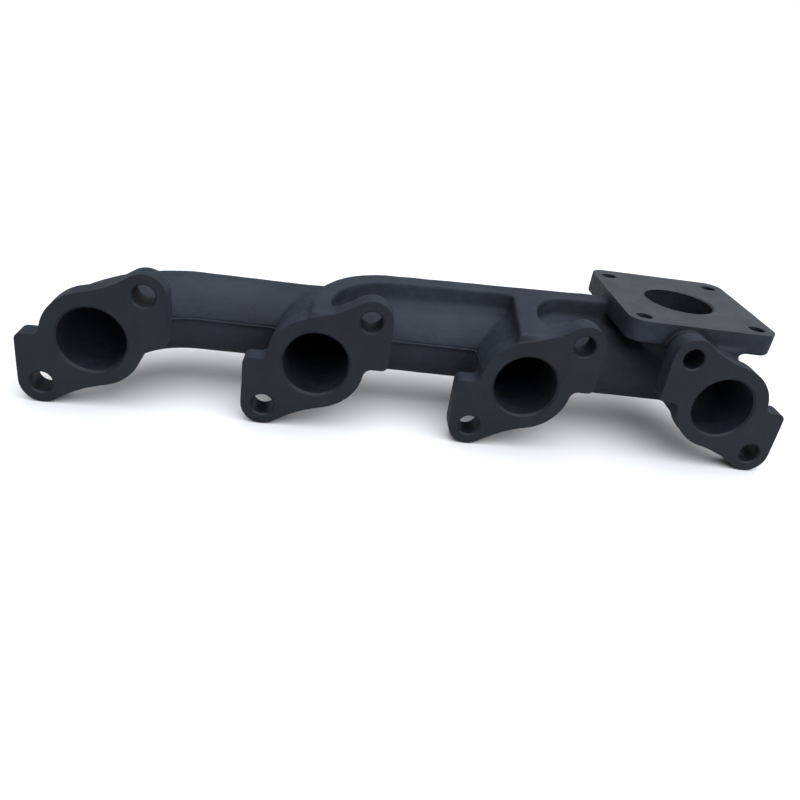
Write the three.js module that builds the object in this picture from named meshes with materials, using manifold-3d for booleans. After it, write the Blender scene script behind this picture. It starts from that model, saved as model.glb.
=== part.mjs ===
// Cast-iron exhaust manifold for a four-cylinder engine, with a turbocharger flange on top.
//
// Millimetres, +Z up. X runs along the row of ports, Y runs away from the cylinder head, and the
// origin is the middle of the port row, on the face that bears on the head.
//
// The manifold is one sand casting: a straight log behind the ports, a neck from each flange to the
// log, the first of them an elbow, a riser up to the turbo flange, and a stiffening rib that runs
// back from the second flange, turns along the log's crest and meets the turbo flange, with a branch
// to the third flange. The casting is divided here along flat cuts into the stretches that a drawing
// of it names, so that each stretch is a solid of its own.

import * as THREE from 'three';
import { ConvexGeometry } from 'three/addons/geometries/ConvexGeometry.js';
import { mergeVertices } from 'three/addons/utils/BufferGeometryUtils.js';
import Module from 'manifold-3d';

const wasm = await Module();
wasm.setup();

// ---- Driving dimensions -------------------------------------------------------------------

const PORT_COUNT = 4;
const PORT_PITCH = 98; // cylinder spacing
const PORT_BORE_R = 15;
const PORT_CHAMFER = 1;

const FLANGE_THICKNESS = 12;
const FLANGE_SHOULDER = 1.7; // the flange's round body, past the neck
const STUD_OFFSET_X = 22.7; // stud holes lie diagonally across the port
const STUD_OFFSET_Z = 23.3;
const STUD_HOLE_R = 5;
const STUD_CHAMFER = 0.7;
const LOBE_R = 10; // round corner about a stud hole
const PAD_CORNER_R = 3;
const PAD_FILLET_R = 3.5; // hollow corner between a pad and the round body
const WAIST_R = 60; // hollow side between the round body and a lobe

const WALL = 4.4; // wall of the log
const LOG_R = 19.4; // outside of the log
const LOG_Y = 46; // log axis behind the head face, level with the port axes
const LOG_Z = 0;
const NECK_STEP = 1.1; // outside of a neck, past the outside of the log
const ELBOW_START_Y = 6; // the first neck bends from here, inside its flange
const JUNCTION_MARGIN = 5; // log on each side of a neck that counts as the junction

const PARTING_Z = 4; // mould parting plane
const FLASH_DEPTH = 0.8; // parting-line rib, proud of the log
const FLASH_HEIGHT = 1.2;

const RIB_HALF_WIDTH = 4.4; // stiffening rib
const RIB_TURN_R = 34; // its turn from the second flange to the log
const RIB_TURN_Y = 11; // where it starts to turn
const RIB_DRIFT = 0.06; // its drift towards the back for each millimetre along the log
const RIB_ABOVE_NECK = 5; // its top at the head face, above the necks
const RIB_RISE_BACK = 0.085; // rise of its top for each millimetre back
const RIB_RISE_ALONG = 0.004; // and for each millimetre along the log
const RIB_MARGIN = 0.5; // necks to the flat cut under the rib
const BRANCH_HALF_WIDTH = 5.5; // branch of the rib, to the third flange
const BRANCH_SHIFT = -3; // its middle at the head face, from the port axis
const BRANCH_LEAN = 0.09;
const BRANCH_FILLET_LEFT = 5;
const BRANCH_FILLET_RIGHT = 20;

const TURBO_SIDE = 74.5; // square turbo flange
const TURBO_CORNER_R = 8;
const TURBO_THICKNESS = 11;
const TURBO_ABOVE_LOG = 15.4; // its top face, above the log
const TURBO_BORE_R = 17.3;
const TURBO_CHAMFER = 0.8;
const TURBO_HOLE_R = 3.4; // tapping drill of the four M8 holes
const TURBO_HOLE_SPACING = 57.3;
const TURBO_FROM_PORT_4 = -14.75; // turbo bore axis, along X
const RISER_WALL_TOP = 7; // riser wall just under the turbo flange
const RISER_WALL_FOOT = 6.5;
const WEB_DEPTH = 8.8; // web in front of the riser, below the turbo flange
const NUT_POCKET_R = 8; // room for the nut that the turbo flange overhangs
const NUT_POCKET_DEPTH = 12;

const ROUND_SEGMENTS = 32; // facets of a full circle
const SMALL_HOLE_SEGMENTS = 16;
const CUT_REACH = 400; // long enough to pass right through the casting

// ---- Sizes that follow from them ----------------------------------------------------------

const portX = (number) => (number - (PORT_COUNT + 1) / 2) * PORT_PITCH;
const PORT_NUMBERS = Array.from({ length: PORT_COUNT }, (_, index) => index + 1);
const PAD_REACH = STUD_OFFSET_X + LOBE_R;
const LOG_BORE_R = LOG_R - WALL;
const LOG_RIGHT_X = portX(PORT_COUNT);
const NECK_R = LOG_R + NECK_STEP;
const NECK_BACK_Y = LOG_Y - NECK_R; // cut between neck and log
const FLANGE_BODY_R = NECK_R + FLANGE_SHOULDER;
const ELBOW_BEND_R = LOG_Y - ELBOW_START_Y;
const ELBOW_END_X = portX(1) + ELBOW_BEND_R;
const JUNCTION_HALF = NECK_R + JUNCTION_MARGIN;
const RIB_FOOT_Z = NECK_R + RIB_MARGIN;
const TURBO_TOP_Z = LOG_R + TURBO_ABOVE_LOG;
const TURBO_X = portX(PORT_COUNT) + TURBO_FROM_PORT_4;
const TURBO_Y = FLANGE_THICKNESS + TURBO_SIDE / 2; // its front is flush with the port flanges' backs
const TURBO_LEFT_X = TURBO_X - TURBO_SIDE / 2;
const TURBO_UNDERSIDE_Z = TURBO_TOP_Z - TURBO_THICKNESS;

// ---- Solids from three.js geometry --------------------------------------------------------

function solid(geometry) {
  const bare = geometry.clone();
  bare.deleteAttribute('normal');
  bare.deleteAttribute('uv');
  const merged = mergeVertices(bare, 1e-4);
  return new wasm.Manifold(new wasm.Mesh({
    numProp: 3,
    vertProperties: new Float32Array(merged.attributes.position.array),
    triVerts: new Uint32Array(merged.index.array),
  }));
}

function box(low, high) {
  const size = high.map((value, axis) => value - low[axis]);
  const centre = high.map((value, axis) => (value + low[axis]) / 2);
  return solid(new THREE.BoxGeometry(...size).translate(...centre));
}

// Cuts a solid in two with a plane square to an axis, and gives the low side, then the high side.
function cutAt(shape, axis, value) {
  const normal = ['x', 'y', 'z'].map((name) => (name === axis ? 1 : 0));
  const [high, low] = shape.splitByPlane(normal, value);
  return [low, high];
}

function hull(points) {
  return solid(new ConvexGeometry(points));
}

// Points of a level circle.
function levelRing(x, y, z, radius) {
  return Array.from({ length: ROUND_SEGMENTS }, (_, step) => {
    const angle = (step / ROUND_SEGMENTS) * 2 * Math.PI;
    return new THREE.Vector3(x + radius * Math.cos(angle), y + radius * Math.sin(angle), z);
  });
}

// A bore from a face inwards, with a chamfered mouth. The cutter runs past the face.
function chamferedBore(radius, depth, chamfer, segments = ROUND_SEGMENTS) {
  const past = 2;
  const profile = [
    [0, -past], [radius + chamfer, -past], [radius + chamfer, 0], [radius, chamfer], [radius, depth],
    [0, depth],
  ].map(([r, along]) => new THREE.Vector2(r, along));
  return new THREE.LatheGeometry(profile, segments);
}

// A round bar along Y, from one depth to another.
function roundBar(radius, x, z, lowY, highY, segments = ROUND_SEGMENTS) {
  return solid(new THREE.CylinderGeometry(radius, radius, highY - lowY, segments)
    .translate(x, (lowY + highY) / 2, z));
}

// The log's shape: a quarter bend at its left, a round bar along X, and a ball at its right.
function bentBar(radius) {
  const bend = solid(new THREE.TorusGeometry(ELBOW_BEND_R, radius, ROUND_SEGMENTS, 2 * ROUND_SEGMENTS)
    .translate(ELBOW_END_X, ELBOW_START_Y, LOG_Z));
  const [leftHalf] = cutAt(bend, 'x', ELBOW_END_X);
  const [, quarter] = cutAt(leftHalf, 'y', ELBOW_START_Y);
  const bar = new THREE.CylinderGeometry(radius, radius, LOG_RIGHT_X - ELBOW_END_X, ROUND_SEGMENTS)
    .rotateZ(Math.PI / 2)
    .translate((ELBOW_END_X + LOG_RIGHT_X) / 2, LOG_Y, LOG_Z);
  const end = new THREE.SphereGeometry(radius, ROUND_SEGMENTS, ROUND_SEGMENTS / 2)
    .rotateZ(Math.PI / 2)
    .translate(LOG_RIGHT_X, LOG_Y, LOG_Z);
  return joined([quarter, solid(bar), solid(end)]);
}

const joined = (solids) => solids.reduce((whole, next) => whole.add(next));

// ---- Port flanges -------------------------------------------------------------------------

// Outline across X and Z: a round body with a lobed pad on each side, alike after half a turn.
function flangeOutline() {
  const lobeDistance = Math.hypot(STUD_OFFSET_X, STUD_OFFSET_Z);
  const lobeDirection = Math.atan2(STUD_OFFSET_Z, STUD_OFFSET_X);
  const fromBody = FLANGE_BODY_R + WAIST_R;
  const fromLobe = LOBE_R + WAIST_R;
  const bodyAngle = lobeDirection + Math.acos(
    (lobeDistance ** 2 + fromBody ** 2 - fromLobe ** 2) / (2 * lobeDistance * fromBody));
  const waistX = fromBody * Math.cos(bodyAngle);
  const waistZ = fromBody * Math.sin(bodyAngle);
  const lobeAngle = Math.atan2(waistZ - STUD_OFFSET_Z, waistX - STUD_OFFSET_X);
  const filletX = Math.sqrt((FLANGE_BODY_R + PAD_FILLET_R) ** 2 - PAD_FILLET_R ** 2);
  const filletAngle = Math.atan2(PAD_FILLET_R, filletX);
  const outline = new THREE.Shape();
  for (const side of [1, -1]) {
    const turn = side > 0 ? 0 : Math.PI;
    outline.absarc(side * STUD_OFFSET_X, side * STUD_OFFSET_Z, LOBE_R, lobeAngle + turn, turn, true);
    outline.absarc(side * (PAD_REACH - PAD_CORNER_R), side * PAD_CORNER_R, PAD_CORNER_R,
      turn, turn - Math.PI / 2, true);
    outline.absarc(side * filletX, -side * PAD_FILLET_R, PAD_FILLET_R,
      turn + Math.PI / 2, turn + Math.PI - filletAngle, false);
    outline.absarc(0, 0, FLANGE_BODY_R, turn - filletAngle, turn + bodyAngle - Math.PI, true);
    outline.absarc(-side * waistX, -side * waistZ, WAIST_R, turn + bodyAngle, turn + lobeAngle, false);
  }
  return outline;
}

// The last flange is the mirror image of the others.
function flangeBlank(number) {
  const blank = new THREE.ExtrudeGeometry(flangeOutline(), {
    depth: FLANGE_THICKNESS, bevelEnabled: false, curveSegments: 8,
  }).rotateX(Math.PI / 2).translate(0, FLANGE_THICKNESS, 0);
  if (number === PORT_COUNT) blank.rotateZ(Math.PI).translate(0, FLANGE_THICKNESS, 0);
  return solid(blank.translate(portX(number), 0, 0));
}

function flangeHoles(number) {
  const lean = number === PORT_COUNT ? -1 : 1;
  const depth = FLANGE_THICKNESS + 2;
  const stud = (side) => solid(chamferedBore(STUD_HOLE_R, depth, STUD_CHAMFER, SMALL_HOLE_SEGMENTS)
    .translate(portX(number) + side * lean * STUD_OFFSET_X, 0, side * STUD_OFFSET_Z));
  const port = solid(chamferedBore(PORT_BORE_R, depth, PORT_CHAMFER).translate(portX(number), 0, 0));
  return joined([port, stud(1), stud(-1)]);
}

// ---- Outside of the casting, apart from the flanges ---------------------------------------

const neckOutside = (number) => roundBar(NECK_R, portX(number), 0, FLANGE_THICKNESS, LOG_Y);

// Plan of the stiffening rib, from the head face back to the log and along it to the riser.
function ribPlan() {
  const mainX = portX(2);
  const turnX = mainX + RIB_TURN_R;
  const heading = Math.atan(RIB_DRIFT);
  const edgeY = (side, x) => RIB_TURN_Y + RIB_DRIFT * (x - turnX)
    + (RIB_TURN_R + side * RIB_HALF_WIDTH) / Math.cos(heading);
  const branchX = (side, y) => portX(3) + BRANCH_SHIFT + BRANCH_LEAN * y + side * BRANCH_HALF_WIDTH;
  const corner = (side) => {
    const x = (branchX(side, 0) + BRANCH_LEAN * edgeY(-1, 0)) / (1 - BRANCH_LEAN * RIB_DRIFT);
    return { x, y: edgeY(-1, x) };
  };
  const left = corner(-1);
  const right = corner(1);
  const plan = new THREE.Shape();
  plan.moveTo(mainX - RIB_HALF_WIDTH, 0);
  plan.absarc(turnX, RIB_TURN_Y, RIB_TURN_R + RIB_HALF_WIDTH, Math.PI, Math.PI / 2 + heading, true);
  plan.lineTo(TURBO_X, edgeY(1, TURBO_X));
  plan.lineTo(TURBO_X, edgeY(-1, TURBO_X));
  plan.lineTo(right.x + BRANCH_FILLET_RIGHT, edgeY(-1, right.x + BRANCH_FILLET_RIGHT));
  plan.quadraticCurveTo(right.x, right.y,
    branchX(1, right.y - BRANCH_FILLET_RIGHT), right.y - BRANCH_FILLET_RIGHT);
  // From there the branch widens to meet the flange.
  const flare = right.y - BRANCH_FILLET_RIGHT - FLANGE_THICKNESS;
  const flareX = branchX(1, FLANGE_THICKNESS) + flare;
  plan.quadraticCurveTo(branchX(1, FLANGE_THICKNESS), FLANGE_THICKNESS, flareX, FLANGE_THICKNESS);
  plan.lineTo(flareX, 0);
  plan.lineTo(branchX(-1, 0), 0);
  plan.lineTo(branchX(-1, left.y - BRANCH_FILLET_LEFT), left.y - BRANCH_FILLET_LEFT);
  plan.quadraticCurveTo(left.x, left.y,
    left.x - BRANCH_FILLET_LEFT, edgeY(-1, left.x - BRANCH_FILLET_LEFT));
  plan.absarc(turnX, RIB_TURN_Y, RIB_TURN_R - RIB_HALF_WIDTH, Math.PI / 2 + heading, Math.PI, false);
  plan.lineTo(mainX + RIB_HALF_WIDTH, 0);
  return plan;
}

function stiffeningRib() {
  const tall = new THREE.ExtrudeGeometry(ribPlan(), {
    depth: CUT_REACH, bevelEnabled: false, curveSegments: 10,
  });
  const normal = [-RIB_RISE_ALONG, -RIB_RISE_BACK, 1];
  const height = NECK_R + RIB_ABOVE_NECK - RIB_RISE_ALONG * portX(2);
  const [, underTop] = solid(tall).splitByPlane(normal, height / Math.hypot(...normal));
  return underTop;
}

// The riser flares to the turbo flange, and a web in front of it reaches the last port flange.
function riserOutside() {
  const top = levelRing(TURBO_X, TURBO_Y, TURBO_UNDERSIDE_Z, TURBO_BORE_R + RISER_WALL_TOP);
  const foot = levelRing(TURBO_X, LOG_Y, LOG_Z, LOG_BORE_R + RISER_WALL_FOOT);
  const webLeft = portX(PORT_COUNT) - STUD_OFFSET_X + LOBE_R + NUT_POCKET_R / 4;
  const webRight = portX(PORT_COUNT) + FLANGE_BODY_R * 0.4;
  const webFront = [
    new THREE.Vector3(webLeft, FLANGE_THICKNESS, TURBO_UNDERSIDE_Z),
    new THREE.Vector3(webLeft, FLANGE_THICKNESS, TURBO_UNDERSIDE_Z - WEB_DEPTH),
    new THREE.Vector3(webRight, FLANGE_THICKNESS, FLANGE_BODY_R * 0.85),
    new THREE.Vector3(webRight, FLANGE_THICKNESS, TURBO_UNDERSIDE_Z - WEB_DEPTH),
  ];
  return hull([...top, ...foot]).add(hull([...top, ...webFront])).subtract(nutPocket());
}

// Where the turbo flange overhangs a stud of the last port flange, for its nut.
function nutPocket() {
  return roundBar(NUT_POCKET_R, portX(PORT_COUNT) - STUD_OFFSET_X, STUD_OFFSET_Z,
    0, FLANGE_THICKNESS + NUT_POCKET_DEPTH);
}

function partingFlash() {
  return box([ELBOW_END_X, LOG_Y - LOG_R - FLASH_DEPTH, PARTING_Z],
    [LOG_RIGHT_X, LOG_Y, PARTING_Z + FLASH_HEIGHT]);
}

// ---- Gas passages -------------------------------------------------------------------------

const portPassage = (number) => roundBar(PORT_BORE_R, portX(number), 0, FLANGE_THICKNESS - 1, LOG_Y);

function riserPassage() {
  return hull([
    ...levelRing(TURBO_X, TURBO_Y, TURBO_UNDERSIDE_Z + 1, TURBO_BORE_R),
    ...levelRing(TURBO_X, LOG_Y, LOG_Z, LOG_BORE_R),
  ]);
}

function turboBore() {
  return solid(chamferedBore(TURBO_BORE_R, TURBO_THICKNESS + 2, TURBO_CHAMFER)
    .rotateX(-Math.PI / 2)
    .translate(TURBO_X, TURBO_Y, TURBO_TOP_Z));
}

// ---- Turbo flange -------------------------------------------------------------------------

function turboBlank() {
  const half = TURBO_SIDE / 2;
  const inner = half - TURBO_CORNER_R;
  const outline = new THREE.Shape();
  [[1, 1], [-1, 1], [-1, -1], [1, -1]].forEach(([x, y], corner) => {
    const start = (corner * Math.PI) / 2;
    outline.absarc(x * inner, y * inner, TURBO_CORNER_R, start, start + Math.PI / 2, false);
  });
  return solid(new THREE.ExtrudeGeometry(outline, {
    depth: TURBO_THICKNESS, bevelEnabled: false, curveSegments: 6,
  }).translate(TURBO_X, TURBO_Y, TURBO_UNDERSIDE_Z));
}

function turboHoles() {
  const holes = [];
  for (const x of [-1, 1]) {
    for (const y of [-1, 1]) {
      holes.push(solid(new THREE.CylinderGeometry(TURBO_HOLE_R, TURBO_HOLE_R, 2 * TURBO_THICKNESS,
        SMALL_HOLE_SEGMENTS)
        .rotateX(Math.PI / 2)
        .translate(TURBO_X + x * TURBO_HOLE_SPACING / 2, TURBO_Y + y * TURBO_HOLE_SPACING / 2,
          TURBO_TOP_Z - TURBO_THICKNESS / 2)));
    }
  }
  return joined(holes);
}

// ---- The casting, and its division into stretches -----------------------------------------

const straightNecks = PORT_NUMBERS.slice(1); // the first neck is the elbow
const passages = joined([
  bentBar(LOG_BORE_R),
  ...straightNecks.map(portPassage),
  riserPassage(),
]);

const [ribAtFlanges, ribBehind] = cutAt(stiffeningRib(), 'y', FLANGE_THICKNESS);
const [ribAlongLog, ribPastPlate] = cutAt(ribBehind, 'x', TURBO_LEFT_X);
const [ribFoot, ribTop] = cutAt(ribAlongLog, 'z', RIB_FOOT_Z);
const [ribUnderPlate] = cutAt(ribPastPlate, 'z', TURBO_UNDERSIDE_Z);
const [, logOutside] = cutAt(bentBar(LOG_R), 'y', FLANGE_THICKNESS);
const body = joined([
  logOutside,
  ...straightNecks.map(neckOutside),
  ribFoot,
  ribUnderPlate,
  riserOutside(),
  partingFlash(),
]).subtract(passages);

const flangeBlanks = PORT_NUMBERS.map(flangeBlank);

// Stretches from left to right: the lower and upper half, the port it lies behind, if any, and
// the X it ends at.
const stretches = [
  { lower: 'end_elbow_lower', upper: 'end_elbow_upper', port: 1, endX: ELBOW_END_X },
  { lower: 'log_1_2_lower', upper: 'log_1_2_upper', endX: portX(2) - JUNCTION_HALF },
  { lower: 'junction_2_lower', upper: 'junction_2_upper', port: 2, endX: portX(2) + JUNCTION_HALF },
  { lower: 'log_2_3_lower', upper: 'log_2_3_upper', endX: portX(3) - JUNCTION_HALF },
  { lower: 'junction_3_lower', upper: 'junction_3_upper', port: 3, endX: portX(3) + JUNCTION_HALF },
  { lower: 'log_3_4_lower', upper: 'log_3_4_upper', endX: TURBO_LEFT_X },
  { lower: 'collector_lower', upper: 'turbo_riser', port: 4, endX: CUT_REACH },
];

const nodes = [];
for (const number of PORT_NUMBERS) {
  const nearFlange = box([portX(number) - PAD_REACH, -1, 0],
    [portX(number) + PAD_REACH, FLANGE_THICKNESS + 1, CUT_REACH]);
  const blank = flangeBlanks[number - 1].add(ribAtFlanges.intersect(nearFlange));
  nodes.push([`port_flange_${number}`, blank.subtract(flangeHoles(number))]);
}
let rest = body;
for (const { lower, upper, port, endX } of stretches) {
  let stretch;
  [stretch, rest] = cutAt(rest, 'x', endX);
  if (port) {
    let neck;
    [neck, stretch] = cutAt(stretch, 'y', NECK_BACK_Y);
    if (port === PORT_COUNT) {
      let logFront;
      [logFront, neck] = cutAt(neck, 'x', portX(port) - JUNCTION_HALF);
      [stretch] = cutAt(stretch.add(logFront), 'z', TURBO_UNDERSIDE_Z);
    }
    nodes.push([`port_neck_${port}`, neck]);
  }
  const [lowerHalf, upperHalf] = cutAt(stretch, 'z', PARTING_Z);
  nodes.push([lower, lowerHalf]);
  nodes.push([upper, upperHalf]);
}
const [leftRib, rightRib] = cutAt(ribTop, 'x', portX(3) - JUNCTION_HALF);
for (const [rib, saddleName, crestName] of [
  [leftRib, 'saddle_rib_2', 'crest_rib_2_3'],
  [rightRib, 'saddle_rib_3', 'crest_rib_3_4'],
]) {
  const [saddle, crest] = cutAt(rib, 'y', NECK_BACK_Y);
  nodes.push([saddleName, saddle]);
  nodes.push([crestName, crest]);
}
nodes.push(['turbo_flange', turboBlank()
  .subtract(turboBore())
  .subtract(turboHoles())
  .subtract(nutPocket())]);

// ---- Scene --------------------------------------------------------------------------------

const paintedIron = new THREE.MeshStandardMaterial({ color: 0x2c3038, roughness: 0.62, metalness: 0.15 });
const paintedFace = new THREE.MeshStandardMaterial({ color: 0x262b33, roughness: 0.5, metalness: 0.15 });

function meshOf(name, shape) {
  const { numProp, vertProperties, triVerts } = shape.getMesh();
  const positions = new Float32Array((vertProperties.length / numProp) * 3);
  for (let vertex = 0; vertex < positions.length / 3; vertex += 1) {
    positions.set(vertProperties.subarray(vertex * numProp, vertex * numProp + 3), vertex * 3);
  }
  const geometry = new THREE.BufferGeometry();
  geometry.setAttribute('position', new THREE.BufferAttribute(positions, 3));
  geometry.setIndex(new THREE.BufferAttribute(new Uint32Array(triVerts), 1));
  geometry.computeVertexNormals();
  const mesh = new THREE.Mesh(geometry, name.includes('flange') ? paintedFace : paintedIron);
  mesh.name = name;
  return mesh;
}

const manifold = new THREE.Group();
manifold.name = 'exhaust_manifold';
for (const [name, shape] of nodes) manifold.add(meshOf(name, shape));

export default manifold;
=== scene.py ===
import itertools
import math

import bpy
import numpy as np
from mathutils import Matrix, Vector


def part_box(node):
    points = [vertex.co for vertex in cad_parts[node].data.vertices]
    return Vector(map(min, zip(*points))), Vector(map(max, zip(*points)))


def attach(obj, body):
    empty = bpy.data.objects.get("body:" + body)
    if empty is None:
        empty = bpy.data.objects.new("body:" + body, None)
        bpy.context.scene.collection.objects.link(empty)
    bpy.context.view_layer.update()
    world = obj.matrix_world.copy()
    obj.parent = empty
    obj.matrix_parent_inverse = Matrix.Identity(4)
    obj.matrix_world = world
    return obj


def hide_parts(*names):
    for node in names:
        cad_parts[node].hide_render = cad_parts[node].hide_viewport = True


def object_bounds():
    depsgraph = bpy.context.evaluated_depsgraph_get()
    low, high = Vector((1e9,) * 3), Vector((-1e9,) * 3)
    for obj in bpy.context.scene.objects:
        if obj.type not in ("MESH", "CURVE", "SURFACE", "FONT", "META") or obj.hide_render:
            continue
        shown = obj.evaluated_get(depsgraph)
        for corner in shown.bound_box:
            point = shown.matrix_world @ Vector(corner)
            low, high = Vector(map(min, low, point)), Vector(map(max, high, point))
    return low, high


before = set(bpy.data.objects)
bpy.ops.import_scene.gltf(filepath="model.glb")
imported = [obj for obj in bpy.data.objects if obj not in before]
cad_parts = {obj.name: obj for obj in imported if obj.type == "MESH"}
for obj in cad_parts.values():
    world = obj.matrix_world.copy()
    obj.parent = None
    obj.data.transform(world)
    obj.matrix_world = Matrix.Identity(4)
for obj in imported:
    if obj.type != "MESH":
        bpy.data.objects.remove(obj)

bl_info = {
    "name": "Exhaust Manifold Looks",
    "version": (1, 0, 0),
    "blender": (4, 5, 0),
    "location": "View3D > Sidebar > Manifold",
    "description": "Builds a sand-cast, painted exhaust manifold around its CAD frame",
    "category": "Object",
}

# The whole casting is one distance field, in millimetres: negative inside the metal. Its surface is
# meshed once, cut apart along the CAD's own flat cuts, and the machined faces, bores and holes are
# then cut into it, as they are into the real casting.

CAD_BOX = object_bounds()
MM = 0.001


def in_mm(node):
    low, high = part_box(node)
    return np.array(low) / MM, np.array(high) / MM


# ---- Places that come from the CAD --------------------------------------------------------------

PORTS = (1, 2, 3, 4)
STRETCHES = ("end_elbow", "log_1_2", "junction_2", "log_2_3", "junction_3", "log_3_4")
NECK_ON = {"end_elbow": "port_neck_1", "junction_2": "port_neck_2", "junction_3": "port_neck_3"}
PORT_X = {n: float(sum(in_mm(f"port_flange_{n}")[side][0] for side in (0, 1)) / 2) for n in PORTS}
FLANGE_BACK = float(in_mm("port_flange_1")[1][1])
NECK_BACK = float(in_mm("port_neck_1")[1][1])
PARTING_Z = float(in_mm("log_1_2_lower")[1][2])
RIB_FOOT = float(in_mm("saddle_rib_2")[0][2])
LOG_R = -float(in_mm("log_1_2_lower")[0][2])
LOG_Y = float(in_mm("log_1_2_lower")[1][1]) - LOG_R
NECK_R = -float(in_mm("port_neck_2")[0][2])
PLATE_LOW, PLATE_HIGH = in_mm("turbo_flange")
STRETCH_ENDS = [float(in_mm(f"{name}_lower")[1][0]) for name in STRETCHES]
RIB_SPLIT_X = STRETCH_ENDS[STRETCHES.index("log_2_3")]
NECK_4_LEFT = float(in_mm("port_neck_4")[0][0])
TURBO_X, TURBO_Y = (float((PLATE_LOW[axis] + PLATE_HIGH[axis]) / 2) for axis in (0, 1))

# ---- Sizes of the casting, in millimetres -------------------------------------------------------

PORT_BORE_R = 15.0
PORT_CHAMFER = 1.0
STUD = (22.7, 23.3)  # from the port axis, diagonally
STUD_HOLE_R = 5.0
STUD_CHAMFER = 0.7
LOBE_R = 10.0
BODY_R = 22.2
PAD_CORNER_R = 3.0
PAD_FILLET_R = 3.5
WAIST_R = 60.0  # hollow side between the round body and a lobe
ELBOW_R = STRETCH_ENDS[0] - PORT_X[1]  # bend of the first neck, on its middle line
ELBOW_Y = LOG_Y - ELBOW_R
SWELL_Y, SWELL_LENGTH = 36.0, 24.0  # where the elbow starts to swell, and over how far
NARROWING_Y = 30.0  # where the other necks start to narrow towards the log
SUNK = 0.4  # how much slimmer than the log a neck or riser ends, so that it leaves no ledge
PORT_FRONT = 4.0  # how far a neck reaches into its flange
RIB_FRONT_Y = 0.8
RIB_HALF_WIDTH = 4.4
RIB_TURN_R = 34.0
RIB_TURN_Y = 11.0
RIB_DRIFT = 0.06
RIB_FRONT_Z = 25.5
RIB_RISE_BACK = 0.085
RIB_RISE_ALONG = 0.004
RIB_DRAFT, RIB_DRAFT_DEPTH = 0.03, 15.0
BRANCH_HALF_WIDTH = 5.5
BRANCH_SHIFT = -3.0
BRANCH_LEAN = 0.09
BRANCH_FILLETS = (5.0, 20.0)
TURBO_BORE_R = 17.3
TURBO_CHAMFER = 0.8
TURBO_CORNER_R = 8.0
TURBO_HOLE_SPACING = 57.3
TAPPED_R = 3.8  # root of the thread; its crest is at the tapping drill's 3.4
TAPPED_CHAMFER = 0.5
RISER_WALL = 7.0
RISER_TOP_R = TURBO_BORE_R + RISER_WALL
RISER_FOOT_R = LOG_R - SUNK
WEB_LOW_Z = 15.0  # underside of the web in front of the riser
WEB_FRONT = (PORT_X[4] - 1, FLANGE_BACK + 8)
WEB_FRONT_R, WEB_EDGE = 9.5, 1.5
NUT_POCKET = (8.0, 12.0)  # radius, and depth behind the flange
NUT_POCKET_EDGE = 3.0
SKIRT_HEIGHT = 7.0  # over which the upper half's lip dies out above the parting line
STEP_FADE = 36.0  # over which the step dies out beyond the third port
CHASE = 0.4  # how far a bore's cutter follows its chamfer on into the cored passage
BEFORE_FACE = 1.5  # how far in front of a face a cutter starts
BORED_DEPTH = 5.0  # of the turbo flange's bore, before the cored passage takes over
THREAD_RIDGE = 0.4

# ---- How the field is made and read, in millimetres ---------------------------------------------

MARGIN = 5.0  # how far the field reaches past the casting
OVERLAP = 3.0  # how far a flange or plate runs past its machined face before it is cut there
SLACK = 2.0  # how far one shape is drawn into the next
FAR = 600.0  # well past the casting on every side
WEB_WINDOW_END = PORT_X[4] + 12  # the web and rib end inside these, and the nut's pocket too
RIB_WINDOW_END = (TURBO_X, LOG_Y + 16, 32.0)
NUT_WINDOW = ((90.0, FLANGE_BACK - SLACK, 10.0), (140.0, 30.0, 40.0))
SEAMLESS = 0.1  # fillet of the first shape, which meets nothing
CORED_FILLET = 2.5
BEFORE_PORTS, ABOVE_PLATE = -20.0, 60.0  # where the passages' solids end, out in the open
SKIN_DEPTH, SKIN_AGREEMENT = 0.2, 0.85  # in grid steps, and as a cosine
EDGE_REACH, EDGE_BAND = 1.6, 0.7
HOLLOW_REACH, HOLLOW_BAND = 3.0, 1.3
SHARP_ANGLE = math.radians(35)

# Slow waves left by the mould: radians per millimetre across, back and up, and the angle each starts at.
WAVES = (((0.21, 0.13, 0.17), 0.3), ((-0.11, 0.29, 0.08), 1.7), ((0.07, -0.12, 0.31), 2.9),
         ((0.37, 0.05, -0.23), 4.1), ((0.16, 0.33, -0.27), 5.2), ((-0.45, 0.31, 0.38), 0.9))

# ---- The stage, in metres -----------------------------------------------------------------------

FLOOR_HALF, FLOOR_GAP = 6.0, 0.0002
CAMERA_BACK = Vector((-0.11310695, -0.87584436, 0.46915187))
CAMERA_UP = Vector((-0.10258619, 0.4799527, 0.87127578))


def linear(code):
    """An sRGB hex colour as linear red, green and blue."""
    parts = [int(code[start:start + 2], 16) / 255 for start in (1, 3, 5)]
    return tuple(c / 12.92 if c <= 0.04045 else ((c + 0.055) / 1.055) ** 2.4 for c in parts)


# ---- Distances ----------------------------------------------------------------------------------

def blend(a, b, radius):
    """The two shapes joined, with a round fillet where they meet."""
    return np.maximum(radius, np.minimum(a, b)) - np.hypot(
        np.maximum(radius - a, 0), np.maximum(radius - b, 0))


def rounded_cut(a, b, radius):
    """What two shapes have in common, with its edge rounded."""
    u, v = a + radius, b + radius
    return np.minimum(np.maximum(u, v), 0) + np.hypot(np.maximum(u, 0), np.maximum(v, 0)) - radius


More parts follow.
